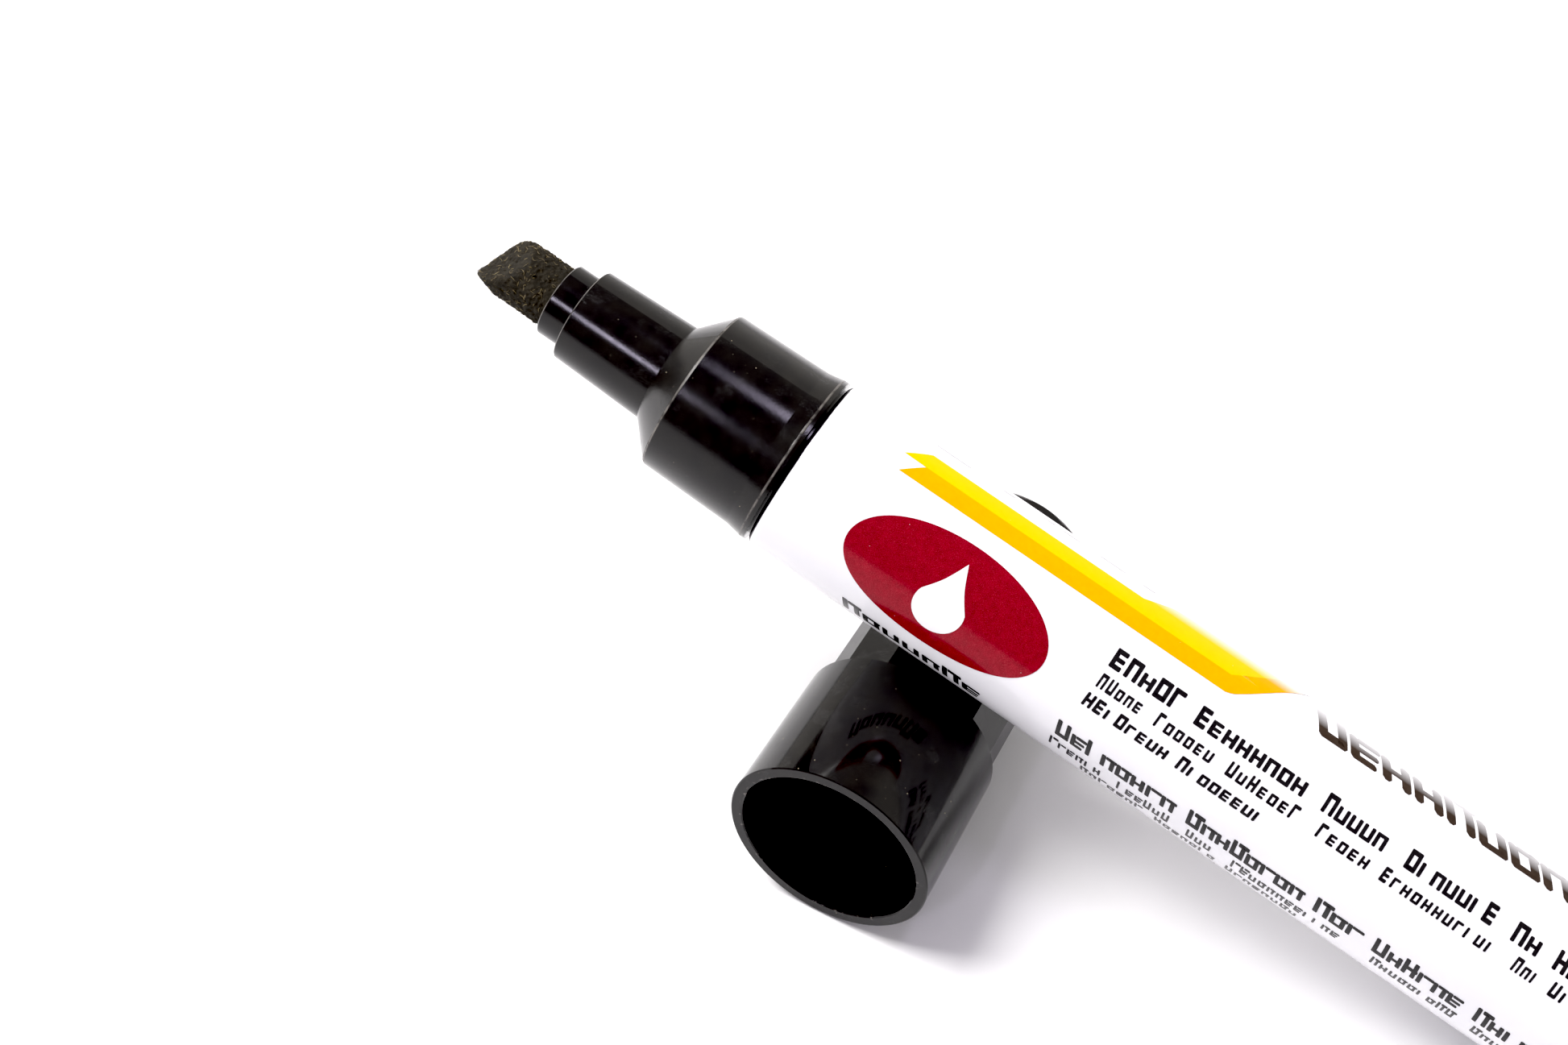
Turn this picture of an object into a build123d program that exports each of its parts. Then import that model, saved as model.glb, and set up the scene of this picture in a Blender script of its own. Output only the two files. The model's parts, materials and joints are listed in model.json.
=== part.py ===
from build123d import *
from math import asin, atan2, cos, degrees, hypot, radians, sin
import os

# Chisel-tip whiteboard marker with its cap off. The open marker lies across the loose cap, nib raised.
# Millimetres. +Z is up from the table, +X runs from the nib towards the tail, +Y from the cap's mouth
# towards its closed end. The origin is the centre of the bounding box's base.
#
# The pen is drawn upright on its own axis: height 0 is the joint between barrel and front section, the nib
# points up (+Z) and the tail is below. The cap is drawn with its mouth at height 0 and its closed end up.

# Driving dimensions of the pen
BARREL_R = 9.0
TUBE_WALL = 0.4
TAIL_HEIGHT = -95.0
TUBE_REAR = -92.2
SHOULDER_FRONT = 12.0
CONE_FRONT = 15.0
NECK_FRONT = 25.0
COLLAR_FRONT = 27.7
LIP_R = 8.92
SHOULDER_REAR_R = 8.62
SHOULDER_FRONT_R = 8.46
NECK_REAR_R = 5.17
NECK_FRONT_R = 4.85
COLLAR_R = 3.8
NIB_R = 3.2

# Driving dimensions of the cap
CAP_LENGTH = 45.6
CAP_MOUTH_R = 10.4
CAP_STEP_R = 10.27
CAP_STEP_AT = 15.8
CAP_FACET_R = 9.6
CAP_FACET_WIDE = 28.5
CAP_FACET_PAIRS = 8
CAP_END_ROUND = 1.5
CAP_END_WALL = 2.0
MOUTH_BORE_R = 9.15
MOUTH_BORE_DEPTH = 4.3
GRIP_BORE_R = 8.53
GRIP_BORE_END = 15.0
DEEP_BORE_R = 8.2
DEEP_TAPER = 2.5

# Clearances, and stock that only serves the cuts
RUNNING_GAP = 0.05
RESTING_GAP = 0.02
CUT_SPARE = 1.0
CUT_BLOCK = 40.0

# Arrangement on the table: where the pen crosses the cap, measured from the lip and from the cap's mouth
CROSSING_BEHIND_LIP = 23.2
CROSSING_IN_CAP = 21.8
SLOPE_START = 0.27
SLOPE_ROUNDS = 30

# Barrel: the front edge is rolled inwards into a groove behind the lip
ROLL_R = 0.8
ROLL_FRONT = -0.25
TUBE_BORE_R = BARREL_R - TUBE_WALL
ROLL_CENTRE = ROLL_FRONT - ROLL_R

# Front section
LIP_EDGE = 0.5
LIP_FLARE_END = 2.2
EDGE_ROUND = 0.12
GROOVE_R = BARREL_R - ROLL_R - RUNNING_GAP
GROOVE_SPARE = 0.1
GROOVE_REAR = ROLL_FRONT - ROLL_R - GROOVE_SPARE
SPIGOT_R = TUBE_BORE_R - RUNNING_GAP
SPIGOT_REAR = -10.0
SPIGOT_CHAMFER = 0.75
GASKET_R = 0.35
GASKET_AT = -4.0

# Ink store and nib
WRAP_R = 7.2
WRAP_WALL = 0.15
RESERVOIR_FRONT = -2.0
RESERVOIR_REAR = -82.0
STORE_CAVITY_R = 7.3
STORE_CAVITY_FRONT = 1.0
NIB_TAIL_R = 2.2
NIB_TAIL_REAR = -14.0
NIB_STEP = 9.0
NIB_STEP_TAPER = 1.0
NIB_BORE_REAR = 6.0

# Chisel end of the nib, seen on its flat side: "across" is sideways, height is along the pen
NIB_TIP = (-2.4, 35.9)
NIB_HIGH_CORNER = (2.5, 33.9)
NIB_LOW_CORNER = (-3.3, 32.8)
NIB_SHOULDER_CORNER = (3.2, 32.9)
NIB_EDGE_HALF = 0.75
NIB_WEDGE_ANGLE = 38.0
NIB_TURN = -41.0

# Tail plug
PLUG_R = 8.9
PLUG_ROUND = 1.0
PLUG_SPIGOT_FRONT = -84.0
PLUG_CAVITY_R = 7.2
PLUG_END_WALL = 1.8

# Sealing cup inside the cap
SEAL_FLANGE_R = DEEP_BORE_R - RUNNING_GAP
SEAL_FLANGE_THICK = 1.8
SEAL_MOUTH = 20.5
SEAL_OUTER_R = 6.1
SEAL_INNER_R = 5.35
SEAL_LIP_R = 5.13
SEAL_LIP_LENGTH = 1.2


def spin(points):
    """Solid of revolution about the upright axis from a closed (radius, height) outline."""
    outline = make_face(Polyline(*points, close=True))
    return revolve(Plane.XZ * outline, Axis.Z)


def cut_off(solid, point, normal):
    """Remove everything on the normal's side of a plane through the point."""
    block = Box(CUT_BLOCK, CUT_BLOCK, CUT_BLOCK, align=(Align.CENTER, Align.CENTER, Align.MIN))
    return solid - Plane(origin=point, z_dir=normal) * block


def barrel_tube():
    """Thin aluminium tube, its front edge rolled inwards."""
    corner = ROLL_R * sin(radians(45))
    inner_roll = ROLL_R - TUBE_WALL
    inner_corner = inner_roll * sin(radians(45))
    centre_r = BARREL_R - ROLL_R
    outer_side = Line((BARREL_R, TUBE_REAR), (BARREL_R, ROLL_CENTRE))
    outer_roll = ThreePointArc(
        (BARREL_R, ROLL_CENTRE),
        (centre_r + corner, ROLL_CENTRE + corner),
        (centre_r, ROLL_FRONT),
    )
    lip = Line((centre_r, ROLL_FRONT), (centre_r, ROLL_FRONT - TUBE_WALL))
    inner_arc = ThreePointArc(
        (centre_r, ROLL_FRONT - TUBE_WALL),
        (centre_r + inner_corner, ROLL_CENTRE + inner_corner),
        (TUBE_BORE_R, ROLL_CENTRE),
    )
    inner_side = Line((TUBE_BORE_R, ROLL_CENTRE), (TUBE_BORE_R, TUBE_REAR))
    rear = Line((TUBE_BORE_R, TUBE_REAR), (BARREL_R, TUBE_REAR))
    outline = make_face([outer_side, outer_roll, lip, inner_arc, inner_side, rear])
    return revolve(Plane.XZ * outline, Axis.Z)


def front_section():
    """Black nib holder: lip, shoulder, cone, neck and collar outside, nib bore and ink-store cavity inside."""
    nib_bore_r = NIB_R + RUNNING_GAP
    body = spin([
        (nib_bore_r, COLLAR_FRONT),
        (COLLAR_R - EDGE_ROUND, COLLAR_FRONT),
        (COLLAR_R, COLLAR_FRONT - EDGE_ROUND),
        (COLLAR_R, NECK_FRONT),
        (NECK_FRONT_R - EDGE_ROUND, NECK_FRONT),
        (NECK_FRONT_R, NECK_FRONT - EDGE_ROUND),
        (NECK_REAR_R, CONE_FRONT),
        (SHOULDER_FRONT_R - EDGE_ROUND, SHOULDER_FRONT + EDGE_ROUND),
        (SHOULDER_FRONT_R, SHOULDER_FRONT - EDGE_ROUND),
        (SHOULDER_REAR_R, LIP_FLARE_END),
        (LIP_R, LIP_EDGE),
        (LIP_R, 0),
        (GROOVE_R, 0),
        (GROOVE_R, GROOVE_REAR),
        (SPIGOT_R, GROOVE_REAR - SPIGOT_CHAMFER),
        (SPIGOT_R, SPIGOT_REAR),
        (STORE_CAVITY_R, SPIGOT_REAR),
        (STORE_CAVITY_R, STORE_CAVITY_FRONT),
        (nib_bore_r, NIB_BORE_REAR),
    ])
    gasket_slot = spin([
        (SPIGOT_R - 2 * GASKET_R + RUNNING_GAP, GASKET_AT - GASKET_R),
        (SPIGOT_R + CUT_SPARE, GASKET_AT - GASKET_R),
        (SPIGOT_R + CUT_SPARE, GASKET_AT + GASKET_R),
        (SPIGOT_R - 2 * GASKET_R + RUNNING_GAP, GASKET_AT + GASKET_R),
    ])
    return body - gasket_slot


def front_gasket():
    """Soft ring that seals the front section's spigot inside the tube."""
    return Pos(0, 0, GASKET_AT) * Torus(TUBE_BORE_R - GASKET_R, GASKET_R)


def nib():
    """Felt rod with a slanted chisel end and a thinner tail that reaches into the ink store."""
    rod = spin([
        (0, NIB_TAIL_REAR),
        (NIB_TAIL_R, NIB_TAIL_REAR),
        (NIB_TAIL_R, NIB_STEP - NIB_STEP_TAPER),
        (NIB_R, NIB_STEP),
        (NIB_R, NIB_TIP[1] + CUT_SPARE),
        (0, NIB_TIP[1] + CUT_SPARE),
    ])
    tip_across, tip_height = NIB_TIP
    slope = atan2(NIB_HIGH_CORNER[1] - tip_height, NIB_HIGH_CORNER[0] - tip_across)
    low = atan2(tip_height - NIB_LOW_CORNER[1], tip_across - NIB_LOW_CORNER[0])
    high = atan2(NIB_SHOULDER_CORNER[1] - NIB_HIGH_CORNER[1], NIB_SHOULDER_CORNER[0] - NIB_HIGH_CORNER[0])
    tip = (0, tip_across, tip_height)
    rod = cut_off(rod, tip, (0, -sin(slope), cos(slope)))
    rod = cut_off(rod, tip, (0, -sin(low), cos(low)))
    rod = cut_off(rod, (0, *NIB_HIGH_CORNER), (0, -sin(high), cos(high)))
    wedge = radians(NIB_WEDGE_ANGLE)
    for side in (1, -1):
        edge = (side * NIB_EDGE_HALF, tip_across, tip_height)
        normal = (side * cos(wedge), -sin(wedge) * sin(slope), sin(wedge) * cos(slope))
        rod = cut_off(rod, edge, normal)
    return Rot(0, 0, NIB_TURN) * rod


def ink_reservoir():
    """Fibre bundle that holds the ink, with a socket for the nib's tail."""
    core = spin([
        (0, RESERVOIR_REAR),
        (WRAP_R - WRAP_WALL, RESERVOIR_REAR),
        (WRAP_R - WRAP_WALL, RESERVOIR_FRONT),
        (NIB_TAIL_R + RUNNING_GAP, RESERVOIR_FRONT),
        (NIB_TAIL_R + RUNNING_GAP, NIB_TAIL_REAR - RUNNING_GAP),
        (0, NIB_TAIL_REAR - RUNNING_GAP),
    ])
    return core


def reservoir_wrap():
    """Plastic film around the fibre bundle."""
    return spin([
        (WRAP_R - WRAP_WALL, RESERVOIR_REAR),
        (WRAP_R, RESERVOIR_REAR),
        (WRAP_R, RESERVOIR_FRONT),
        (WRAP_R - WRAP_WALL, RESERVOIR_FRONT),
    ])


def tail_plug():
    """Hollow plug that closes the tube's rear end."""
    diagonal = PLUG_ROUND * (1 - sin(radians(45)))
    round_start = (PLUG_R - PLUG_ROUND, TAIL_HEIGHT)
    round_middle = (PLUG_R - diagonal, TAIL_HEIGHT + diagonal)
    round_end = (PLUG_R, TAIL_HEIGHT + PLUG_ROUND)
    cavity_rear = TAIL_HEIGHT + PLUG_END_WALL
    rest = Polyline(
        round_end,
        (PLUG_R, TUBE_REAR),
        (SPIGOT_R, TUBE_REAR),
        (SPIGOT_R, PLUG_SPIGOT_FRONT + EDGE_ROUND),
        (SPIGOT_R - EDGE_ROUND, PLUG_SPIGOT_FRONT),
        (PLUG_CAVITY_R, PLUG_SPIGOT_FRONT),
        (PLUG_CAVITY_R, cavity_rear),
        (0, cavity_rear),
        (0, TAIL_HEIGHT),
        round_start,
    )
    outline = make_face([ThreePointArc(round_start, round_middle, round_end), *rest.edges()])
    return revolve(Plane.XZ * outline, Axis.Z)


def facet_outline():
    """Closed outline of the cap's grip: wide and narrow flats in turn, one corner on top."""
    corners = []
    pitch = 360 / CAP_FACET_PAIRS
    for pair in range(CAP_FACET_PAIRS):
        for angle in (pair * pitch, pair * pitch + CAP_FACET_WIDE):
            corners.append((CAP_FACET_R * sin(radians(angle)), -CAP_FACET_R * cos(radians(angle))))
    return make_face(Polyline(*corners, close=True))


def cap_shell():
    """Black cap: smooth skirt round the mouth, faceted grip behind it, a bore that narrows onto the shoulder."""
    skirt = spin([
        (0, 0),
        (CAP_MOUTH_R - EDGE_ROUND, 0),
        (CAP_MOUTH_R, EDGE_ROUND),
        (CAP_STEP_R, CAP_STEP_AT - EDGE_ROUND),
        (CAP_STEP_R - EDGE_ROUND, CAP_STEP_AT),
        (0, CAP_STEP_AT),
    ])
    grip = extrude(facet_outline(), CAP_LENGTH)
    end_edge_r = CAP_FACET_R - CAP_END_ROUND
    corner = CAP_END_ROUND * sin(radians(45))
    round_start = (CAP_FACET_R, CAP_LENGTH - CAP_END_ROUND)
    round_middle = (end_edge_r + corner, CAP_LENGTH - CAP_END_ROUND + corner)
    round_end = (end_edge_r, CAP_LENGTH)
    rest = Polyline(round_end, (0, CAP_LENGTH), (0, 0), (CAP_FACET_R, 0), round_start)
    envelope = make_face([ThreePointArc(round_start, round_middle, round_end), *rest.edges()])
    grip = grip & revolve(Plane.XZ * envelope, Axis.Z)
    bore = spin([
        (0, -CUT_SPARE),
        (MOUTH_BORE_R + EDGE_ROUND, -CUT_SPARE),
        (MOUTH_BORE_R + EDGE_ROUND, 0),
        (MOUTH_BORE_R, EDGE_ROUND),
        (MOUTH_BORE_R, MOUTH_BORE_DEPTH),
        (GRIP_BORE_R, GRIP_BORE_END),
        (DEEP_BORE_R, GRIP_BORE_END + DEEP_TAPER),
        (DEEP_BORE_R, CAP_LENGTH - CAP_END_WALL),
        (0, CAP_LENGTH - CAP_END_WALL),
    ])
    return skirt + grip - bore


def cap_inner_seal():
    """Cup on the cap's end wall whose lip closes round the pen's neck and keeps the nib from drying."""
    seat = CAP_LENGTH - CAP_END_WALL
    return spin([
        (0, seat),
        (SEAL_FLANGE_R, seat),
        (SEAL_FLANGE_R, seat - SEAL_FLANGE_THICK),
        (SEAL_OUTER_R, seat - SEAL_FLANGE_THICK),
        (SEAL_OUTER_R, SEAL_MOUTH),
        (SEAL_LIP_R, SEAL_MOUTH),
        (SEAL_LIP_R, SEAL_MOUTH + SEAL_LIP_LENGTH),
        (SEAL_INNER_R, SEAL_MOUTH + 2 * SEAL_LIP_LENGTH),
        (SEAL_INNER_R, seat - SEAL_FLANGE_THICK),
        (0, seat - SEAL_FLANGE_THICK),
    ])


def cap_tilt():
    """Slope of the cap's axis: it lies on the skirt's rear edge and on the rounded closed end."""
    drop = CAP_STEP_R - (CAP_FACET_R - CAP_END_ROUND)
    run = CAP_LENGTH - CAP_END_ROUND - (CAP_STEP_AT - EDGE_ROUND)
    return atan2(drop, run) - asin(CAP_END_ROUND / hypot(drop, run))


def cap_placement():
    """Cap on the table, its axis along +Y over the crossing point and sloping down to the closed end."""
    tilt = cap_tilt()
    edge_height = CAP_STEP_R * cos(tilt)
    mouth_height = edge_height + (CAP_STEP_AT - EDGE_ROUND) * sin(tilt)
    return Pos(0, -CROSSING_IN_CAP * cos(tilt), mouth_height) * Rot(-90 - degrees(tilt), 0, 0)


def pen_placement():
    """Pen resting on the cap at the crossing and on the tail plug's rounded edge."""
    cap_slope = cap_tilt()
    axis_height = cap_placement().position.Z - CROSSING_IN_CAP * sin(cap_slope)
    reach = -TAIL_HEIGHT - PLUG_ROUND - CROSSING_BEHIND_LIP
    apart = BARREL_R + CAP_FACET_R + RESTING_GAP
    slope = SLOPE_START
    for _ in range(SLOPE_ROUNDS):
        across = hypot(sin(slope) * cos(cap_slope), cos(slope))
        crossing_height = axis_height + apart * cos(slope) * cos(cap_slope) / across
        slope = asin((crossing_height - (PLUG_R - PLUG_ROUND) * cos(slope) - PLUG_ROUND) / reach)
    sideways = apart * Vector(sin(slope), cos(slope) * sin(cap_slope) / cos(cap_slope), cos(slope))
    crossing = Vector(0, 0, axis_height) + sideways * (cos(cap_slope) / across)
    lip = crossing + CROSSING_BEHIND_LIP * Vector(-cos(slope), 0, sin(slope))
    return Pos(*lip) * Rot(0, degrees(slope) - 90, 0)


def assembly():
    """All pieces, placed, with the origin at the centre of the bounding box's base."""
    pen = pen_placement()
    cap = cap_placement()
    placed = {
        "barrel_tube": pen * barrel_tube(),
        "front_section": pen * front_section(),
        "front_gasket": pen * front_gasket(),
        "nib": pen * nib(),
        "ink_reservoir": pen * ink_reservoir(),
        "reservoir_wrap": pen * reservoir_wrap(),
        "tail_plug": pen * tail_plug(),
        "cap_shell": cap * cap_shell(),
        "cap_inner_seal": cap * cap_inner_seal(),
    }
    box = Compound(list(placed.values())).bounding_box()
    centre = box.center()
    home = Pos(-centre.X, -centre.Y, -box.min.Z)
    return {name: home * shape for name, shape in placed.items()}


os.makedirs("parts", exist_ok=True)
for name, shape in assembly().items():
    export_step(shape, f"parts/{name}.step")
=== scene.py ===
import json
import math
import random

import bmesh
import bpy
from mathutils import Matrix, Vector, noise
from mathutils.bvhtree import BVHTree


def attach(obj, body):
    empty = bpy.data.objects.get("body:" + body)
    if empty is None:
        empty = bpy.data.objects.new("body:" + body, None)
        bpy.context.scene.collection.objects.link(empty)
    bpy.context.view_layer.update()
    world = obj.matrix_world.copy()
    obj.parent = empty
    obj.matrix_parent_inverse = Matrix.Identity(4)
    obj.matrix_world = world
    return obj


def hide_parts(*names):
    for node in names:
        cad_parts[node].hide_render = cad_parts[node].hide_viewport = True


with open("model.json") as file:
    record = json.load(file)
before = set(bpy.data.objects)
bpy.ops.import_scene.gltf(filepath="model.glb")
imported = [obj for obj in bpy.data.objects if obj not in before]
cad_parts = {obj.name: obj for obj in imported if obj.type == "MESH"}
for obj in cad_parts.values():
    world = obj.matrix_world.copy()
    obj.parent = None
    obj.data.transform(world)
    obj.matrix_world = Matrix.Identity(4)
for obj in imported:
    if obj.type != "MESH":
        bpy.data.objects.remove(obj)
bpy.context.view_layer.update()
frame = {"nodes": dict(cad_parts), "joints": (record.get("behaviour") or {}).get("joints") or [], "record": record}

# The looks of a chisel-tip whiteboard marker lying across its cap: materials for the CAD pieces, the print
# on the barrel, the felt of the nib, then floor, light and camera. The scene is in metres. Surface detail
# and print are laid out in millimetres and brought to metres with MM.
MM = 0.001

# The pen's own frame, from the record: the axis points to the nib, heights count from the lip
PEN_LENGTH = 95.0
BARREL_R = 9.0
mounts = {mount["name"]: mount for mount in frame["record"]["mounts"]}
joints = {joint["name"]: joint for joint in frame["joints"]}
pen_axis = Vector(joints["nib_pull"]["axis"]).normalized()
pen_side = Vector((0, 1, 0))
pen_up = pen_side.cross(pen_axis)
pen_lip = Vector(mounts["tail_face"]["pos_m"]) + PEN_LENGTH * MM * pen_axis

# The cap's own frame: the axis points to the closed end, depths count from the mouth
MOUTH_TO_MOUNT = 2.21
cap_axis = -Vector(mounts["cap_mouth"]["axis"]).normalized()
cap_side = Vector((1, 0, 0))
cap_up = cap_side.cross(cap_axis)
cap_mouth = Vector(mounts["cap_mouth"]["pos_m"]) - MOUTH_TO_MOUNT * MM * cap_axis


# ---------------------------------------------------------------- node helpers


# Scratches run along the X axis: their noise is packed closer the other two ways
SCRATCH_STRETCH = (1, 14, 14)


class Nodes:
    """A material's node tree, with short calls for the nodes that the materials here share."""

    def __init__(self, name):
        self.material = bpy.data.materials.new(name)
        self.material.use_nodes = True
        self.tree = self.material.node_tree
        self.shader = self.tree.nodes["Principled BSDF"]
        room_axes = (Vector((1, 0, 0)), Vector((0, 1, 0)), Vector((0, 0, 1)))
        self.position = self.frame_mm(Vector((0, 0, 0)), room_axes)

    def add(self, kind, **settings):
        node = self.tree.nodes.new(kind)
        for key, value in settings.items():
            setattr(node, key, value)
        return node

    def feed(self, socket, value):
        """Link an output, or set a plain value."""
        if isinstance(value, bpy.types.NodeSocket):
            self.tree.links.new(value, socket)
        else:
            socket.default_value = value

    def math(self, operation, a, b=0.0):
        node = self.add("ShaderNodeMath", operation=operation)
        for socket, value in zip(node.inputs, (a, b)):
            self.feed(socket, value)
        return node.outputs[0]

    def frame_mm(self, origin, axes):
        """Position in millimetres along three directions from an origin, as one vector."""
        source = self.add("ShaderNodeTexCoord").outputs["Object"]
        offset = self.add("ShaderNodeVectorMath", operation="SUBTRACT")
        self.feed(offset.inputs[0], source)
        self.feed(offset.inputs[1], origin)
        combined = self.add("ShaderNodeCombineXYZ")
        for axis, socket in zip(axes, combined.inputs):
            dot = self.add("ShaderNodeVectorMath", operation="DOT_PRODUCT")
            self.feed(dot.inputs[0], offset.outputs[0])
            self.feed(dot.inputs[1], axis / MM)
            self.feed(socket, dot.outputs["Value"])
        return combined.outputs[0]

    def pen_mm(self):
        """Position along the pen from its lip, then upwards and sideways from its axis, in millimetres."""
        return self.frame_mm(pen_lip, (pen_axis, pen_up, pen_side))

    def parts(self, vector):
        """The three components of a vector."""
        node = self.add("ShaderNodeSeparateXYZ")
        self.feed(node.inputs[0], vector)
        return node.outputs

    def stretched(self, vector, factors):
        node = self.add("ShaderNodeVectorMath", operation="MULTIPLY")
        self.feed(node.inputs[0], vector)
        self.feed(node.inputs[1], Vector(factors))
        return node.outputs[0]

    def noise(self, scale, detail=3.0, roughness=0.5, vector=None, distortion=0.0):
        """Noise from 0 to 1, with the scale in cycles per millimetre."""
        node = self.add("ShaderNodeTexNoise")
        self.feed(node.inputs["Vector"], vector or self.position)
        node.inputs["Scale"].default_value = scale
        node.inputs["Detail"].default_value = detail
        node.inputs["Roughness"].default_value = roughness
        node.inputs["Distortion"].default_value = distortion
        return node.outputs["Fac"]

    def span(self, value, low, high, to_low=0.0, to_high=1.0):
        """Map a stretch of values to another, held at both ends."""
        node = self.add("ShaderNodeMapRange", clamp=True)
        for socket, number in zip(node.inputs, (value, low, high, to_low, to_high)):
            self.feed(socket, number)
        return node.outputs[0]

    def specks(self, cell, size, share):
        """Small round dots, one at most per cell, in a share of the cells. Sizes are in millimetres."""
        cells = self.add("ShaderNodeTexVoronoi", feature="F1")
        self.feed(cells.inputs["Vector"], self.position)
        cells.inputs["Scale"].default_value = 1.0 / cell
        chosen = self.math("LESS_THAN", self.parts(cells.outputs["Color"])[0], share)
        dot = self.span(cells.outputs["Distance"], size / cell, 0.5 * size / cell)
        return self.math("MULTIPLY", dot, chosen)

    def scratches(self, scale, fineness, share):
        """Thin marks along the X axis: stretched noise, kept only near its middle value."""
        lines = self.noise(scale, 2.0, 0.5, self.stretched(self.position, SCRATCH_STRETCH), 0.4)
        near = self.math("ABSOLUTE", self.math("SUBTRACT", lines, 0.5))
        line = self.span(near, fineness, 0.0)
        where = self.span(self.noise(0.35), 1.0 - share, 1.0 - share + 0.08)
        return self.math("MULTIPLY", line, where)

    def mix(self, amount, first, second):
        """The first colour at 0, the second at 1."""
        node = self.add("ShaderNodeMix", data_type="RGBA")
        self.feed(node.inputs["Factor"], amount)
        self.feed(node.inputs[6], first)
        self.feed(node.inputs[7], second)
        return node.outputs[2]

    def bump(self, height, distance, strength=1.0, normal=None):
        """Bump from a height of 0 to 1 that stands for a distance in millimetres."""
        node = self.add("ShaderNodeBump")
        node.inputs["Strength"].default_value = strength
        node.inputs["Distance"].default_value = distance * MM
        self.feed(node.inputs["Height"], height)
        if normal is not None:
            self.feed(node.inputs["Normal"], normal)
        return node.outputs[0]

    def finish(self, color, roughness, normal, **constants):
        """Feed the shader, set its constant sockets by name, and hand over the material."""
        self.feed(self.shader.inputs["Base Color"], color)
        self.feed(self.shader.inputs["Roughness"], roughness)
        self.feed(self.shader.inputs["Normal"], normal)
        for name, value in constants.items():
            self.shader.inputs[name.replace("_", " ")].default_value = value
        return self.material


def rgb(red, green, blue):
    return (red, green, blue, 1.0)


# ---------------------------------------------------------------- materials


def black_plastic(name, polish, grain, shine, wear_and_highlight):
    """Black moulding with flow mottling, hairline scratches and dust.

    Polish is its range of roughness, grain the depth of its fine texture in mm, shine its specular level.
    The last argument is a function that gives 0 to 1 for pale marks: worn chips on the cap, painted edge
    highlights on the front section.
    """
    n = Nodes(name)
    mottling = n.span(n.noise(0.5, 4.0), 0.3, 0.7)
    color = n.mix(mottling, rgb(0.004, 0.0035, 0.004), rgb(0.009, 0.008, 0.007))
    dust = n.math("MAXIMUM", n.specks(1.1, 0.06, 0.30), n.specks(0.5, 0.03, 0.16))
    color = n.mix(dust, color, rgb(0.42, 0.36, 0.24))
    marks = n.scratches(0.8, 0.006, 0.45)
    roughness = n.span(n.noise(1.4, 5.0, 0.6), 0.3, 0.7, polish[0], polish[1])
    roughness = n.math("ADD", roughness, n.math("MULTIPLY", marks, 0.15))
    roughness = n.math("ADD", roughness, n.math("MULTIPLY", dust, 0.5))
    normal = n.bump(n.noise(7.0, 3.0, 0.6), grain)
    normal = n.bump(n.math("SUBTRACT", dust, marks), 0.006, 1.0, normal)
    chips_and_highlights = wear_and_highlight(n)
    # Pale marks: real wear where the mask comes from the cap's chips, painted highlight where it comes from the
    # front section's edge lines.
    color = n.mix(chips_and_highlights, color, rgb(0.12, 0.11, 0.10))
    roughness = n.math("ADD", roughness, n.math("MULTIPLY", chips_and_highlights, 0.3))
    normal = n.bump(n.math("MULTIPLY", n.noise(5.0, 4.0, 0.7), chips_and_highlights), 0.03, 1.0, normal)
    return n.finish(color, roughness, normal, Specular_IOR_Level=shine)


# Turned edges of the front section: lip, shoulder, neck's end and collar's end, as heights above the lip
COLLAR_FRONT = 27.7
EDGE_HEIGHTS = (0.5, 12.0, 25.0, COLLAR_FRONT)
MOUTH_EDGE_R = 9.3


def painted_edge_highlights(n):
    """Painted highlights: a thin paler line on each turned edge, broken here and there, stands in for the light
    these edges catch.
    """
    along = n.parts(n.pen_mm())[0]
    line = 0.0
    for height in EDGE_HEIGHTS:
        away = n.math("ABSOLUTE", n.math("SUBTRACT", along, height))
        line = n.math("MAXIMUM", n.span(away, 0.14, 0.05), line)
    return n.math("MULTIPLY", line, n.span(n.noise(0.9, 4.0, 0.6), 0.35, 0.6, 0.15, 1.0))


def mouth_wear(n):
    """Small pale chips along the inner edge of the cap's mouth."""
    spot = n.parts(n.frame_mm(cap_mouth, (cap_side, cap_up, cap_axis)))
    outward = n.math("SQRT", n.math("ADD", n.math("POWER", spot[0], 2.0), n.math("POWER", spot[1], 2.0)))
    edge = n.math("ADD", n.math("ABSOLUTE", n.math("SUBTRACT", outward, MOUTH_EDGE_R)), spot[2])
    chips = n.span(n.noise(1.6, 4.0, 0.6), 0.58, 0.68)
    return n.math("MULTIPLY", n.span(edge, 0.26, 0.14), chips)


# The paint gives way to bare metal between these heights, just behind the lip; that metal is coloured near-black
# as painted shade of the gap behind the lip
PAINT_EDGE = (-0.62, -0.56)


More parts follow.
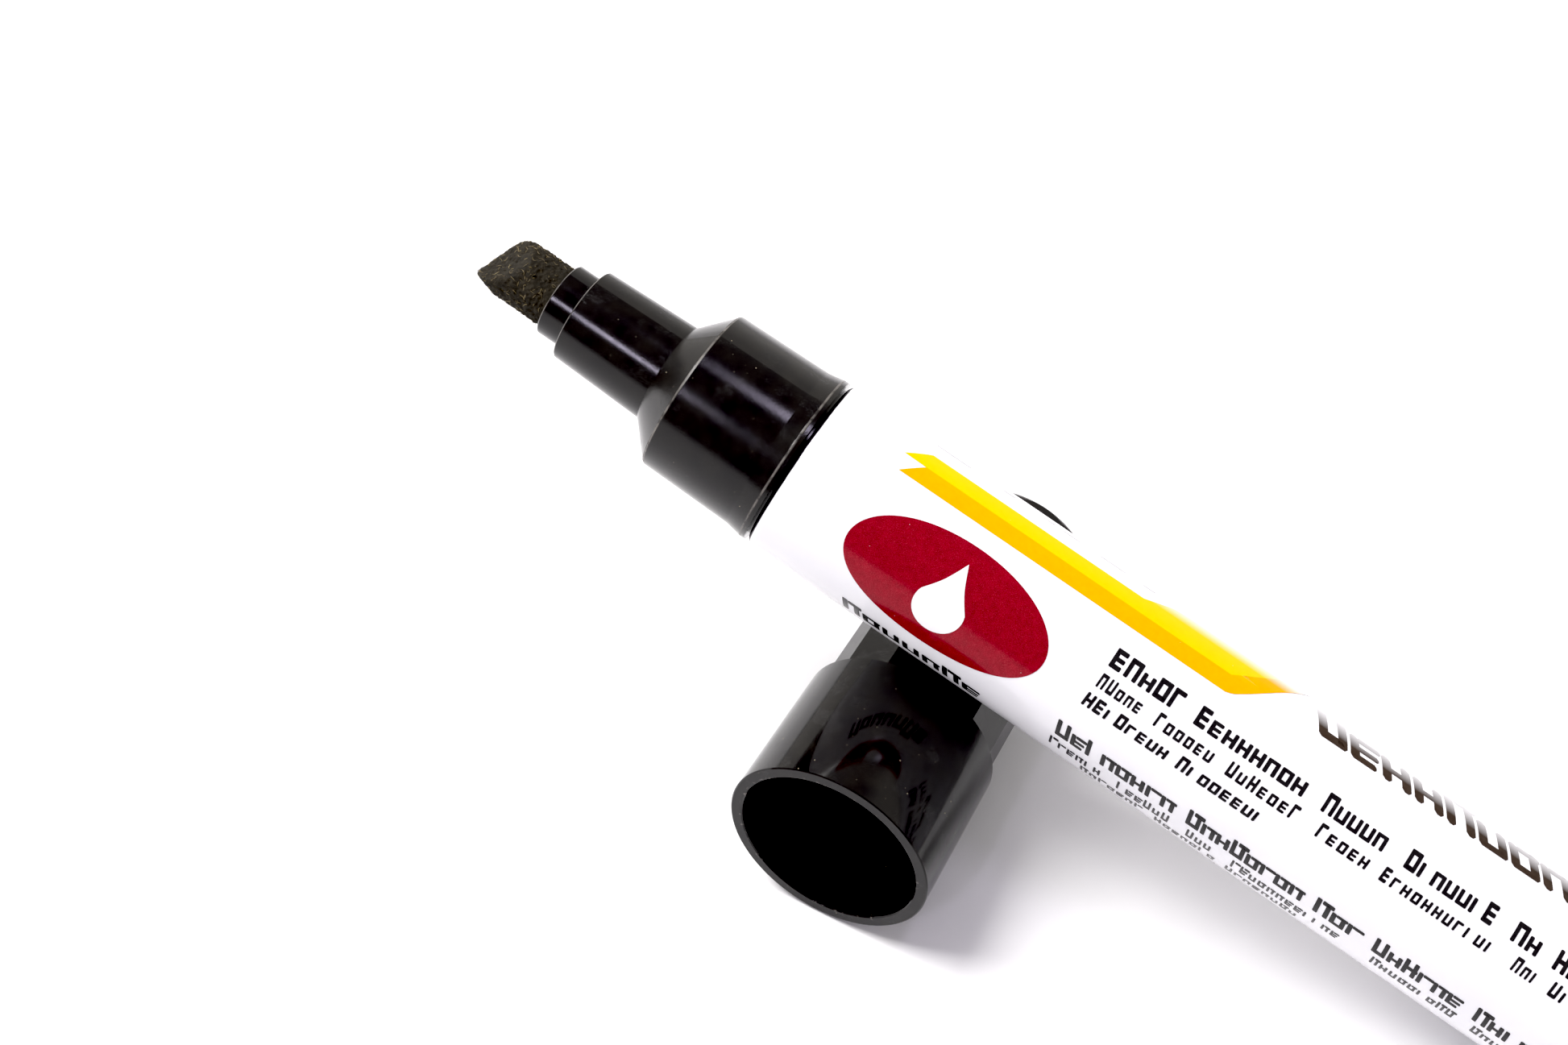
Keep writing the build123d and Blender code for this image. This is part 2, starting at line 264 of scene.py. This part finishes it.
def white_lacquer():
    """Glossy white barrel paint, ending at the rolled front edge in bare metal coloured near-black: painted shade
    of the gap behind the lip.
    """
    n = Nodes("white_lacquer")
    wavy = n.math("MULTIPLY", n.noise(1.2), 0.1)
    shaded_metal_rim = n.span(n.math("ADD", n.parts(n.pen_mm())[0], wavy), *PAINT_EDGE)
    tone = n.span(n.noise(0.12, 3.0), 0.3, 0.7)
    paint = n.mix(tone, rgb(0.80, 0.80, 0.83), rgb(0.84, 0.84, 0.86))
    hairlines = n.math("MULTIPLY", n.scratches(0.5, 0.004, 0.3), 0.35)
    dirt = n.math("MAXIMUM", n.specks(3.0, 0.05, 0.3), hairlines)
    paint = n.mix(dirt, paint, rgb(0.45, 0.43, 0.42))
    # Near-black metal band: painted shade of the gap between the lip and the paint.
    color = n.mix(shaded_metal_rim, paint, rgb(0.014, 0.011, 0.018))
    smears = n.span(n.noise(0.25, 5.0, 0.6), 0.35, 0.7, 0.10, 0.17)
    roughness = n.math("ADD", smears, n.math("MULTIPLY", n.math("MAXIMUM", dirt, shaded_metal_rim), 0.25))
    peel = n.bump(n.noise(1.1, 2.0), 0.004)
    normal = n.bump(n.noise(12.0, 2.0), 0.0015, 1.0, peel)
    n.feed(n.shader.inputs["Metallic"], shaded_metal_rim)
    return n.finish(color, roughness, normal)


# Print washed out by painted glare takes the colour of the barrel
PRINT_UNDER_GLARE = (0.82, 0.82, 0.845)


def ink(name, shade, deep, gloss=0.5, metallic=0.0, grain=0.0, glare=None):
    """Printed ink with a slightly uneven layer and tiny pinholes.

    Grain is the strength of its bright flakes. The last argument, if given, is a function that gives 0 to 1 for
    painted glare, which washes the ink out to the barrel's white.
    """
    n = Nodes(name)
    uneven = n.span(n.noise(1.6, 4.0, 0.6), 0.3, 0.7)
    color = n.mix(uneven, rgb(*shade), rgb(*deep))
    if grain:
        flakes = n.span(n.noise(14.0, 2.0, 0.7), 0.45, 0.75)
        bright = rgb(*(min(1.0, 1.9 * part + 0.06) for part in shade))
        color = n.mix(n.math("MULTIPLY", flakes, grain), color, bright)
    pinholes = n.specks(0.5, 0.035, 0.06)
    color = n.mix(pinholes, color, rgb(0.8, 0.8, 0.82))
    # Painted glare: the ink pales to the barrel's white where the mask is high.
    if glare:
        color = n.mix(glare(n), color, rgb(*PRINT_UNDER_GLARE))
    roughness = n.span(n.noise(2.0, 4.0), 0.3, 0.7, 0.12, 0.22)
    normal = n.bump(n.noise(10.0, 3.0, 0.6), 0.003)
    return n.finish(
        color, roughness, normal,
        Metallic=metallic, Specular_IOR_Level=gloss, Coat_Weight=gloss, Coat_Roughness=0.05,
    )


def felt():
    """Pressed fibres soaked in black ink: near-black with olive and tan flecks, fewer on the cut faces."""
    n = Nodes("felt")
    cut = n.add("ShaderNodeAttribute", attribute_name="cut").outputs["Fac"]
    lay = n.pen_mm()
    fibres = n.noise(13.0, 4.0, 0.7, n.stretched(lay, (0.6, 1, 1)), 0.8)
    crossing = n.noise(15.0, 3.0, 0.7, n.stretched(lay, (1, 0.6, 1)), 1.0)
    pale = n.span(n.math("MAXIMUM", fibres, crossing), 0.66, 0.76)
    pale = n.math("MULTIPLY", pale, n.math("SUBTRACT", 1.0, n.math("MULTIPLY", cut, 0.35)))
    dark = n.mix(n.span(n.noise(1.1, 3.0), 0.35, 0.65), rgb(0.015, 0.013, 0.009), rgb(0.030, 0.026, 0.018))
    hue = n.mix(n.span(n.noise(3.5), 0.4, 0.6), rgb(0.30, 0.24, 0.06), rgb(0.34, 0.26, 0.13))
    color = n.mix(pale, dark, hue)
    roughness = n.span(cut, 0.0, 1.0, 0.85, 0.7)
    normal = n.bump(n.math("MAXIMUM", fibres, crossing), 0.11, 1.0)
    return n.finish(color, roughness, normal, Specular_IOR_Level=0.3)


def strand(name, shade, deep):
    """One colour of loose nib fibre."""
    n = Nodes(name)
    color = n.mix(n.span(n.noise(4.0), 0.35, 0.65), rgb(*shade), rgb(*deep))
    roughness = n.span(n.noise(6.0), 0.3, 0.7, 0.5, 0.7)
    return n.finish(color, roughness, n.bump(n.noise(20.0), 0.004))


def soft_part(name, light, dark, scale, rough):
    """Inner parts that only show when a joint opens: mottled, matt, slightly bumpy."""
    n = Nodes(name)
    tone = n.span(n.noise(scale, 4.0, 0.6), 0.3, 0.7)
    color = n.mix(tone, rgb(*dark), rgb(*light))
    roughness = n.span(n.noise(2.0 * scale, 3.0), 0.3, 0.7, rough - 0.08, rough + 0.08)
    return n.finish(color, roughness, n.bump(n.noise(3.0 * scale, 4.0, 0.6), 0.02))


def floor_material():
    """Matt white paper."""
    n = Nodes("floor_paper")
    tone = n.span(n.noise(0.02, 3.0), 0.3, 0.7)
    color = n.mix(tone, rgb(0.86, 0.86, 0.87), rgb(0.88, 0.88, 0.885))
    return n.finish(color, n.span(n.noise(0.1), 0.3, 0.7, 0.8, 0.9), n.bump(n.noise(0.5, 4.0), 0.01))


# ---------------------------------------------------------------- the print on the barrel

# Gap between barrel and film, width of the strips that bend round the barrel, and the film's thickness
PRINT_LIFT = 0.02
PRINT_STRIP = 0.4
PRINT_THICKNESS = 0.01


def on_barrel(height, arc, lift):
    """Point at a height along the pen and an arc round it, from its top line towards the mouth's side."""
    angle = arc / BARREL_R
    outward = math.cos(angle) * pen_up - math.sin(angle) * pen_side
    return pen_lip + MM * (height * pen_axis + (BARREL_R + lift) * outward)


def from_axis(point):
    """The shortest way from the pen's axis to a point."""
    away = point - pen_lip
    return away - away.dot(pen_axis) * pen_axis


def round_normals(mesh):
    """Give a film's two broad sides the barrel's own normals, and leave its edges flat."""
    normals = []
    for face in mesh.polygons:
        for index in face.vertices:
            outward = from_axis(mesh.vertices[index].co).normalized()
            facing = face.normal.dot(outward)
            normals.append(math.copysign(1.0, facing) * outward if abs(facing) > 0.7 else face.normal)
    mesh.normals_split_custom_set(normals)


def placed(name, mesh, body):
    """Object for a mesh, riding with a body."""
    piece = bpy.data.objects.new(name, mesh)
    bpy.context.scene.collection.objects.link(piece)
    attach(piece, body)
    return piece


def cut_in_strips(bm):
    """Cut a flat film lengthwise, so that it can bend round the barrel."""
    arcs = [vert.co.y for vert in bm.verts]
    strips = int((max(arcs) - min(arcs)) / PRINT_STRIP)
    for strip in range(1, strips + 1):
        level = min(arcs) + strip * PRINT_STRIP
        everything = bm.verts[:] + bm.edges[:] + bm.faces[:]
        bmesh.ops.bisect_plane(bm, geom=everything, dist=1e-5, plane_co=(0, level, 0), plane_no=(0, 1, 0))


def printed(name, outlines, material, lift=PRINT_LIFT):
    """Thin film on the barrel from flat outlines of (height, arc) points."""
    bm = bmesh.new()
    for outline in outlines:
        bm.faces.new([bm.verts.new((height, arc, 0)) for height, arc in outline])
    bm.normal_update()
    bmesh.ops.triangulate(bm, faces=bm.faces[:], ngon_method="EAR_CLIP")
    cut_in_strips(bm)
    for vert in bm.verts:
        vert.co = on_barrel(vert.co.x, vert.co.y, lift)
    bm.normal_update()
    for face in bm.faces:
        if face.normal.dot(from_axis(face.calc_center_median())) < 0:
            face.normal_flip()
        face.smooth = True
    bmesh.ops.solidify(bm, geom=bm.faces[:], thickness=PRINT_THICKNESS * MM)
    mesh = bpy.data.meshes.new(name)
    bm.to_mesh(mesh)
    bm.free()
    round_normals(mesh)
    mesh.materials.append(material)
    placed(name, mesh, "pen")


def between(numbers, share):
    """Value between the second and third of four numbers, on the smooth curve through all four."""
    a, b, c, d = numbers
    linear = (c - a) * share
    square = (2 * a - 5 * b + 4 * c - d) * share**2
    cube = (3 * b - a - 3 * c + d) * share**3
    return 0.5 * (2 * b + linear + square + cube)


def smooth_path(points, steps=6):
    """Points along a curve that runs through the given ones."""
    path = []
    for index in range(len(points) - 1):
        before = points[max(index - 1, 0)]
        start, end = points[index], points[index + 1]
        after = points[min(index + 2, len(points) - 1)]
        for step in range(steps):
            path.append(tuple(
                between(numbers, step / steps) for numbers in zip(before, start, end, after)
            ))
    path.append(points[-1])
    return path


# Middle and half axes of the oval, and the drop inside it, all as heights and arcs on the barrel
OVAL_AT = (-18.54, 9.17)
OVAL_HALF = (10.53, 5.54)
DROP_AT = (-18.6, 10.4)
DROP_RADIUS = 2.5
DROP_LENGTH = 5.0


def oval():
    """Outline of the large oval."""
    return [
        (OVAL_AT[0] + OVAL_HALF[0] * math.cos(turn), OVAL_AT[1] + OVAL_HALF[1] * math.sin(turn))
        for turn in (math.tau * step / 96 for step in range(96))
    ]


def ink_drop(middle, radius, length):
    """Plain drop: a round belly and two sides that meet in a point, upwards in reading direction."""
    height, arc = middle
    belly = [
        (height + radius * math.cos(turn), arc + radius * math.sin(turn))
        for turn in (math.radians(-20 + 220 * step / 24) for step in range(25))
    ]
    tip = (height, arc - length)
    waist = 0.42 * radius
    waist_arc = arc - 0.55 * length
    left = smooth_path([belly[-1], (height - waist, waist_arc), tip])
    right = smooth_path([tip, (height + waist, waist_arc), belly[0]])
    return belly + left[1:] + right[1:-1]


# Two-tone band: the yellow strip lies above the amber one, both turn upwards and fade at the tail end
YELLOW_TURN = [(-33.6, -2.43), (-35.3, -3.34), (-36.7, -4.2), (-38.4, -4.7)]
BOUNDARY_TURN = [(-43.65, -0.35), (-46.6, -2.7), (-49.2, -5.6)]
AMBER_TURN = [(-43.8, 1.66), (-45.0, 1.05), (-47.6, -1.3), (-51.6, -5.7)]


def yellow_band():
    start = [(-10.5, -0.35), (-8.1, -0.4), (-10.4, -2.43)]
    return start + smooth_path(YELLOW_TURN) + [(-48.2, -4.75)] + smooth_path(BOUNDARY_TURN)[-4::-1]


def amber_band():
    start = [(-10.5, -0.35), (-8.56, 1.66)]
    return start + smooth_path(AMBER_TURN) + smooth_path(BOUNDARY_TURN)[::-1]


def block(start, end, top, base, slant=0.0, corner=0.08):
    """Small block with cut corners, leaning by the slant."""
    corner = min(corner, 0.3 * abs(end - start), 0.3 * (base - top))
    side = 1 if end > start else -1
    near, far = start + side * corner, end - side * corner
    upper, lower = top + corner, base - corner
    flat = [
        (near, top), (far, top), (end, upper), (end, lower),
        (far, base), (near, base), (start, lower), (start, upper),
    ]
    return [(height + slant * (base - arc), arc) for height, arc in flat]


# Letter-like signs that spell nothing: bars as (left, right, top, base) in shares of the sign's box
POST = (0.0, 0.32, 0.0, 1.0)
FAR_POST = (0.68, 1.0, 0.0, 1.0)
TOP_BAR = (0.1, 0.9, 0.0, 0.24)
BASE_BAR = (0.1, 0.9, 0.76, 1.0)
MIDDLE_BAR = (0.1, 0.9, 0.4, 0.62)
SIGNS = [
    [POST, FAR_POST, TOP_BAR], [POST, FAR_POST, BASE_BAR], [POST, FAR_POST, TOP_BAR, BASE_BAR],
    [POST, TOP_BAR, MIDDLE_BAR, BASE_BAR], [POST, FAR_POST, MIDDLE_BAR], [POST, TOP_BAR],
]


def greeked_row(words, top, base, pitch, fill, seed, slant=0.0, corner=0.08):
    """Words of made-up signs on one line, some of them tall, some narrow.

    Pitch is the step from sign to sign, fill the share of it that a sign takes.
    """
    pick = random.Random(seed)
    blocks = []
    for start, end in words:
        count = max(1, round((start - end) / pitch))
        step = (start - end) / count
        for index in range(count):
            left = start - index * step
            tall = index == 0 or pick.random() < 0.22
            upper = top if tall else top + 0.27 * (base - top)
            width = fill * step
            bars = [POST] if pick.random() < 0.15 else pick.choice(SIGNS)
            for near, far, high, low in bars:
                blocks.append(block(
                    left - near * width, left - far * width,
                    upper + high * (base - upper), upper + low * (base - upper), slant, corner,
                ))
    return blocks


# Words as (start, end) heights along the pen, and each row's top and base as arcs round the barrel
DASHES = [(-10.15, -13.9), (-17.6, -18.9), (-22.0, -23.3), (-24.3, -26.1), (-28.4, -31.2), (-33.1, -34.5)]
ROW_BOLD = [(-33.8, -41.5), (-42.8, -54.5), (-56.25, -62.9), (-64.9, -74.3), (-76.0, -78.9), (-80.3, -86.0)]
ROW_THIN = [(-33.9, -38.7), (-40.0, -46.3), (-47.6, -55.3), (-57.1, -62.7), (-63.8, -75.8), (-77.5, -80.4),
            (-81.3, -87.0)]
ROW_MEDIUM = [(-33.8, -42.9), (-43.8, -53.1)]
ROW_ITALIC = [(-33.8, -46.8), (-48.0, -60.6), (-61.7, -66.9), (-68.0, -77.4), (-78.7, -86.5)]
ROW_FINE = [(-34.0, -39.8), (-41.4, -47.3), (-49.0, -51.9), (-53.9, -65.7), (-69.0, -78.1), (-79.8, -86.0)]
ROW_LAST = [(-38.0, -45.0), (-46.2, -53.0), (-54.0, -62.0)]
ROW_NUMBER = [(-11.4, -27.0)]
TITLE = [(-53.0, -87.0)]
DASH_TOP = -5.3
DASH_BASE = -4.95
BLACK_ROWS = {
    "print_row_bold": dict(words=ROW_BOLD, top=3.9, base=5.85, pitch=1.42, fill=0.84, seed=132),
    "print_row_thin": dict(words=ROW_THIN, top=6.57, base=8.0, pitch=1.05, fill=0.72, seed=2),
    "print_row_medium": dict(words=ROW_MEDIUM, top=8.71, base=10.12, pitch=1.1, fill=0.8, seed=3),
    "print_row_italic": dict(words=ROW_ITALIC, top=12.8, base=14.8, pitch=1.6, fill=0.88, slant=0.3, seed=22),
    "print_row_fine": dict(words=ROW_FINE, top=15.4, base=16.8, pitch=1.0, fill=0.75, slant=0.25, seed=5),
    "print_row_last": dict(words=ROW_LAST, top=17.2, base=18.4, pitch=1.0, fill=0.75, slant=0.25, seed=6),
    "print_row_number": dict(words=ROW_NUMBER, top=16.2, base=18.2, pitch=2.1, fill=0.84, slant=0.3, seed=52),
}


def band_glare(n):
    """Painted glare: the band pales towards its upturned end, on the barrel's side that faces the bright backdrop.
    """
    return n.span(n.parts(n.pen_mm())[2], 2.7, 4.9)


def title_glare(n):
    """Painted glare: the large bars are dark at their base and pale at their top edge, on the barrel's side that
    faces the bright backdrop.
    """
    return n.span(n.parts(n.pen_mm())[2], 1.5, 3.8, 0.0, 0.9)


def print_barrel():
    """Everything printed on the barrel, the broad shapes first."""
    crimson = ink("crimson_ink", (0.27, 0.001, 0.013), (0.20, 0.0, 0.008), 0.16, 0.1, 0.45)
    white = ink("white_ink", (0.85, 0.85, 0.87), (0.80, 0.80, 0.82))
    # The band and the title carry painted glare that pales them towards the barrel's side facing the backdrop.
    yellow = ink("yellow_ink", (0.85, 0.54, 0.006), (0.82, 0.51, 0.005), 0.06, glare=band_glare)
    amber = ink("amber_ink", (0.82, 0.38, 0.002), (0.78, 0.35, 0.002), 0.06, glare=band_glare)
    black = ink("black_ink", (0.008, 0.007, 0.008), (0.016, 0.015, 0.016), 0.2)
    grey = ink("grey_ink", (0.50, 0.49, 0.52), (0.58, 0.57, 0.60))
    brown = ink("brown_ink", (0.03, 0.018, 0.012), (0.045, 0.03, 0.022), 0.08, glare=title_glare)
    printed("print_oval", [oval()], crimson)
    printed("print_drop", [ink_drop(DROP_AT, DROP_RADIUS, DROP_LENGTH)], white, 2 * PRINT_LIFT)
    printed("print_band_yellow", [yellow_band()], yellow)
    printed("print_band_amber", [amber_band()], amber, 1.5 * PRINT_LIFT)
    dashes = [block(start, end, DASH_TOP, DASH_BASE, corner=0.05) for start, end in DASHES]
    printed("print_dashes", dashes, grey)
    for name, row in BLACK_ROWS.items():
        printed(name, greeked_row(**row), black)
    title = greeked_row(TITLE, top=-4.4, base=-0.4, pitch=3.4, fill=0.9, slant=0.25, seed=41, corner=0.4)
    printed("print_title", title, brown)


# ---------------------------------------------------------------- the felt nib

# Mesh size, depth of the lumps, how far the felt stays inside its CAD shape, and rounds of edge softening
FELT_VOXEL = 0.12
FELT_DEPTH = 0.18
FELT_SHRINK = 0.02
FELT_ROUNDS = 36

# A face counts as cut when its normal leans towards the pen's axis by more than this cosine
CUT_SLOPE = 0.1


def pen_height(point):
    """Height of a point above the lip, in millimetres."""
    return (point - pen_lip).dot(pen_axis) / MM


def rough_cloud(point, scale):
    """Noise from about -1 to 1, the same on every run, with the scale in cycles per millimetre."""
    return noise.noise(point * (scale / MM))


def remeshed(mesh, name):
    """Fine even mesh round the same shape."""
    rough = bpy.data.objects.new(name, mesh)
    bpy.context.scene.collection.objects.link(rough)
    remesh = rough.modifiers.new("remesh", "REMESH")
    remesh.mode = "VOXEL"
    remesh.voxel_size = FELT_VOXEL * MM
    remesh.use_smooth_shade = True
    bpy.context.view_layer.update()
    fine = bpy.data.meshes.new_from_object(rough.evaluated_get(bpy.context.evaluated_depsgraph_get()))
    bpy.data.objects.remove(rough)
    bpy.data.meshes.remove(mesh)
    fine.name = name
    return fine


def soften(mesh, rounds):
    """Round the edges of the exposed end a little."""
    bm = bmesh.new()
    bm.from_mesh(mesh)
    end = [vert for vert in bm.verts if pen_height(vert.co) > COLLAR_FRONT]
    for _ in range(rounds):
        bmesh.ops.smooth_vert(bm, verts=end, factor=0.5, use_axis_x=True, use_axis_y=True, use_axis_z=True)
    bm.to_mesh(mesh)
    bm.free()


def roughen(mesh, faces, normals):
    """Press fibre-like lumps into the exposed end, and mark where it was cut."""
    cut = mesh.attributes.new("cut", "FLOAT", "POINT")
    shift = []
    for vert in mesh.vertices:
        index = faces.find_nearest(vert.co)[2]
        height = pen_height(vert.co)
        on_cut = height > COLLAR_FRONT and abs(normals[index].dot(pen_axis)) > CUT_SLOPE
        cut.data[vert.index].value = 1.0 if on_cut else 0.0
        lumps = 0.4 * rough_cloud(vert.co, 0.9) + 0.9 * rough_cloud(vert.co, 3.6)
        free = min(1.0, max(0.0, (height - COLLAR_FRONT) / 0.5))
        depth = FELT_DEPTH * free * (0.6 if on_cut else 1.0)
        shift.append(vert.normal * MM * (depth * lumps - FELT_SHRINK))
    for vert, move in zip(mesh.vertices, shift):
        vert.co += move


def felt_nib(material):
    """The nib as a fine mesh, its outside roughened like pressed fibre. Inside its holder it only shrinks."""
    bm = bmesh.new()
    bm.from_mesh(frame["nodes"]["nib"].data)
    bmesh.ops.remove_doubles(bm, verts=bm.verts[:], dist=0.001 * MM)
    faces = BVHTree.FromBMesh(bm)
    normals = [face.normal.copy() for face in bm.faces]
    plain = bpy.data.meshes.new("nib_plain")
    bm.to_mesh(plain)
    bm.free()
    fine = remeshed(plain, "nib_felt")
    fine.materials.clear()
    fine.materials.append(material)
    soften(fine, FELT_ROUNDS)
    roughen(fine, faces, normals)
    piece = placed("nib_felt", fine, "nib")
    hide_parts("nib")
    return piece


# Loose fibres: ranges of length and radius, the most that an end stands off and that a fibre bends
STRAND_LENGTH = (0.2, 0.7)
STRAND_RADIUS = (0.010, 0.020)
STRAND_STAND = 0.4
STRAND_BEND = 0.25
STRAND_STEPS = 4
STRAND_SIDES = 3


def add_strand(bm, face, pick):
    """One thin closed fibre across a face: it bends sideways, and its last end may stand off the felt."""
    normal = face.normal.copy()
    spin = Vector((pick.uniform(-1, 1), pick.uniform(-1, 1), pick.uniform(-1, 1)))
    run = (spin - spin.dot(normal) * normal).normalized()
    length = pick.uniform(*STRAND_LENGTH)
    stand = pick.uniform(0.0, STRAND_STAND) * pick.random()
    radius = pick.uniform(*STRAND_RADIUS)
    away = normal.cross(run)
    bend = away * pick.uniform(-STRAND_BEND, STRAND_BEND)
    rings = []
    for step in range(STRAND_STEPS + 1):
        t = step / STRAND_STEPS
        rise = normal * (0.01 + stand * t * t)
        centre = face.center + MM * (run * length * (t - 0.5) + rise + bend * math.sin(math.pi * t))
        size = radius * (1.0 if 0 < step < STRAND_STEPS else 0.3) * MM
        turns = [math.tau * side / STRAND_SIDES for side in range(STRAND_SIDES)]
        rings.append([
            bm.verts.new(centre + size * (math.cos(turn) * normal + math.sin(turn) * away)) for turn in turns
        ])
    for lower, upper in zip(rings, rings[1:]):
        for index in range(STRAND_SIDES):
            after = (index + 1) % STRAND_SIDES
            bm.faces.new((lower[index], lower[after], upper[after], upper[index]))
    bm.faces.new(rings[0][::-1])
    bm.faces.new(rings[-1])


def fibre_strands(name, nib_piece, count, material, seed):
    """Loose fibres that lie on the exposed felt, some with an end that stands off it."""
    pick = random.Random(seed)
    exposed = [face for face in nib_piece.data.polygons if pen_height(face.center) > COLLAR_FRONT + 0.3]
    bm = bmesh.new()
    for _ in range(count):
        add_strand(bm, exposed[pick.randrange(len(exposed))], pick)
    bmesh.ops.recalc_face_normals(bm, faces=bm.faces[:])
    for face in bm.faces:
        face.smooth = True
    strands = bpy.data.meshes.new(name)
    bm.to_mesh(strands)
    bm.free()
    strands.materials.append(material)
    placed(name, strands, "nib")


# ---------------------------------------------------------------- light, floor and camera

# Half width of the floor, and how far it lies under the object
FLOOR_REACH = 3.0
FLOOR_LEVEL = -0.00002

# The backdrop fills the low part of the room behind the object. Each of its two soft edges is given as the
# direction's Z or Y part where the backdrop ends, then where it is full.
BACKDROP = rgb(1.0, 0.965, 0.925)
ROOM = rgb(0.36, 0.34, 0.36)
BACKDROP_STRENGTH = 1.1
BACKDROP_TOP = (0.82, 0.70)
BACKDROP_SIDE = (-0.25, 0.0)

LAMP_DISTANCE = 0.8


def floor():
    """Large white sheet under the object."""
    mesh = bpy.data.meshes.new("floor")
    signs = ((-1, -1), (1, -1), (1, 1), (-1, 1))
    corners = [(FLOOR_REACH * x, FLOOR_REACH * y, FLOOR_LEVEL) for x, y in signs]
    mesh.from_pydata(corners, [], [(0, 1, 2, 3)])
    mesh.materials.append(floor_material())
    plane = bpy.data.objects.new("floor", mesh)
    bpy.context.scene.collection.objects.link(plane)


def studio_world():
    """A white backdrop behind the object, up to about 50 degrees above the horizon, in a dimmer room."""
    world = bpy.data.worlds.new("studio")
    bpy.context.scene.world = world
    world.use_nodes = True
    tree = world.node_tree
    coordinates = tree.nodes.new("ShaderNodeTexCoord")
    split = tree.nodes.new("ShaderNodeSeparateXYZ")
    tree.links.new(coordinates.outputs["Generated"], split.inputs[0])
    shares = []
    for axis, (ends, full) in (("Z", BACKDROP_TOP), ("Y", BACKDROP_SIDE)):
        share = tree.nodes.new("ShaderNodeMapRange")
        tree.links.new(split.outputs[axis], share.inputs[0])
        share.inputs[1].default_value = ends
        share.inputs[2].default_value = full
        shares.append(share)
    both = tree.nodes.new("ShaderNodeMath")
    both.operation = "MULTIPLY"
    mix = tree.nodes.new("ShaderNodeMix")
    mix.data_type = "RGBA"
    mix.inputs[6].default_value = ROOM
    mix.inputs[7].default_value = BACKDROP
    for share, socket in zip(shares, both.inputs):
        tree.links.new(share.outputs[0], socket)
    tree.links.new(both.outputs[0], mix.inputs[0])
    tree.links.new(mix.outputs[2], tree.nodes["Background"].inputs["Color"])
    tree.nodes["Background"].inputs["Strength"].default_value = BACKDROP_STRENGTH


def lamp(name, direction, width, height, power, color):
    """Soft light in a direction from the pen's lip, facing it."""
    data = bpy.data.lights.new(name, "AREA")
    data.shape = "RECTANGLE"
    data.size = width
    data.size_y = height
    data.energy = power
    data.color = color
    light = bpy.data.objects.new(name, data)
    towards = Vector(direction).normalized()
    light.location = pen_lip + LAMP_DISTANCE * towards
    light.rotation_euler = (-towards).to_track_quat("-Z", "Y").to_euler()
    bpy.context.scene.collection.objects.link(light)


def camera():
    """Looks down on the nib half of the pen, from the side of the cap's mouth."""
    place = Vector((0.01767, -0.112234, 0.154191))
    target = Vector((-0.033329, 0.007655, 0.016066))
    roll = 0.12
    data = bpy.data.cameras.new("camera")
    data.sensor_width = 36.0
    data.lens = 41.07
    data.clip_start = 0.01
    data.clip_end = 10.0
    view = bpy.data.objects.new("camera", data)
    bpy.context.scene.collection.objects.link(view)
    aim = (target - place).to_track_quat("-Z", "Y").to_matrix()
    view.matrix_world = Matrix.Translation(place) @ (aim @ Matrix.Rotation(roll, 3, "Z")).to_4x4()
    bpy.context.scene.camera = view


def deepen_blacks():
    """Plain display colours with slightly deepened blacks."""
    view = bpy.context.scene.view_settings
    view.view_transform = "Standard"
    view.use_curve_mapping = True
    view.curve_mapping.black_level = (0.02, 0.02, 0.02)
    view.curve_mapping.update()


# ---------------------------------------------------------------- everything together

CAD_MATERIALS = {
    "barrel_tube": white_lacquer(),
    "front_section": black_plastic("black_plastic", (0.11, 0.18), 0.005, 0.34, painted_edge_highlights),
    "cap_shell": black_plastic("black_plastic_cap", (0.05, 0.10), 0.0015, 0.28, mouth_wear),
    "front_gasket": soft_part("gasket_rubber", (0.02, 0.02, 0.02), (0.012, 0.012, 0.012), 1.5, 0.6),
    "ink_reservoir": soft_part("ink_fibre", (0.05, 0.05, 0.055), (0.02, 0.02, 0.024), 3.0, 0.85),
    "reservoir_wrap": soft_part("wrap_film", (0.78, 0.79, 0.80), (0.68, 0.69, 0.71), 0.6, 0.4),
    "cap_inner_seal": soft_part("seal_plastic", (0.022, 0.022, 0.023), (0.014, 0.014, 0.015), 1.0, 0.5),
}
CAD_MATERIALS["tail_plug"] = CAD_MATERIALS["front_section"]
for node, material in CAD_MATERIALS.items():
    frame["nodes"][node].data.materials.clear()
    frame["nodes"][node].data.materials.append(material)

print_barrel()
nib_piece = felt_nib(felt())
dark_fibre = strand("dark_fibre", (0.03, 0.022, 0.012), (0.07, 0.05, 0.02))
fibre_strands("nib_fibres_dark", nib_piece, 700, dark_fibre, seed=11)
pale_fibre = strand("pale_fibre", (0.30, 0.23, 0.08), (0.45, 0.36, 0.22))
fibre_strands("nib_fibres_pale", nib_piece, 350, pale_fibre, seed=12)

floor()
studio_world()
lamp("key_light", (-0.56, -0.12, 0.82), width=0.45, height=0.45, power=10.5, color=(1.0, 0.985, 0.97))
lamp("front_lamp", (-0.085, -0.746, 0.668), width=0.05, height=0.11, power=0.6, color=(0.86, 0.80, 1.0))
lamp("top_lamp", (0.187, -0.023, 0.982), width=0.15, height=0.07, power=0.55, color=(0.84, 0.77, 1.0))
camera()
deepen_blacks()
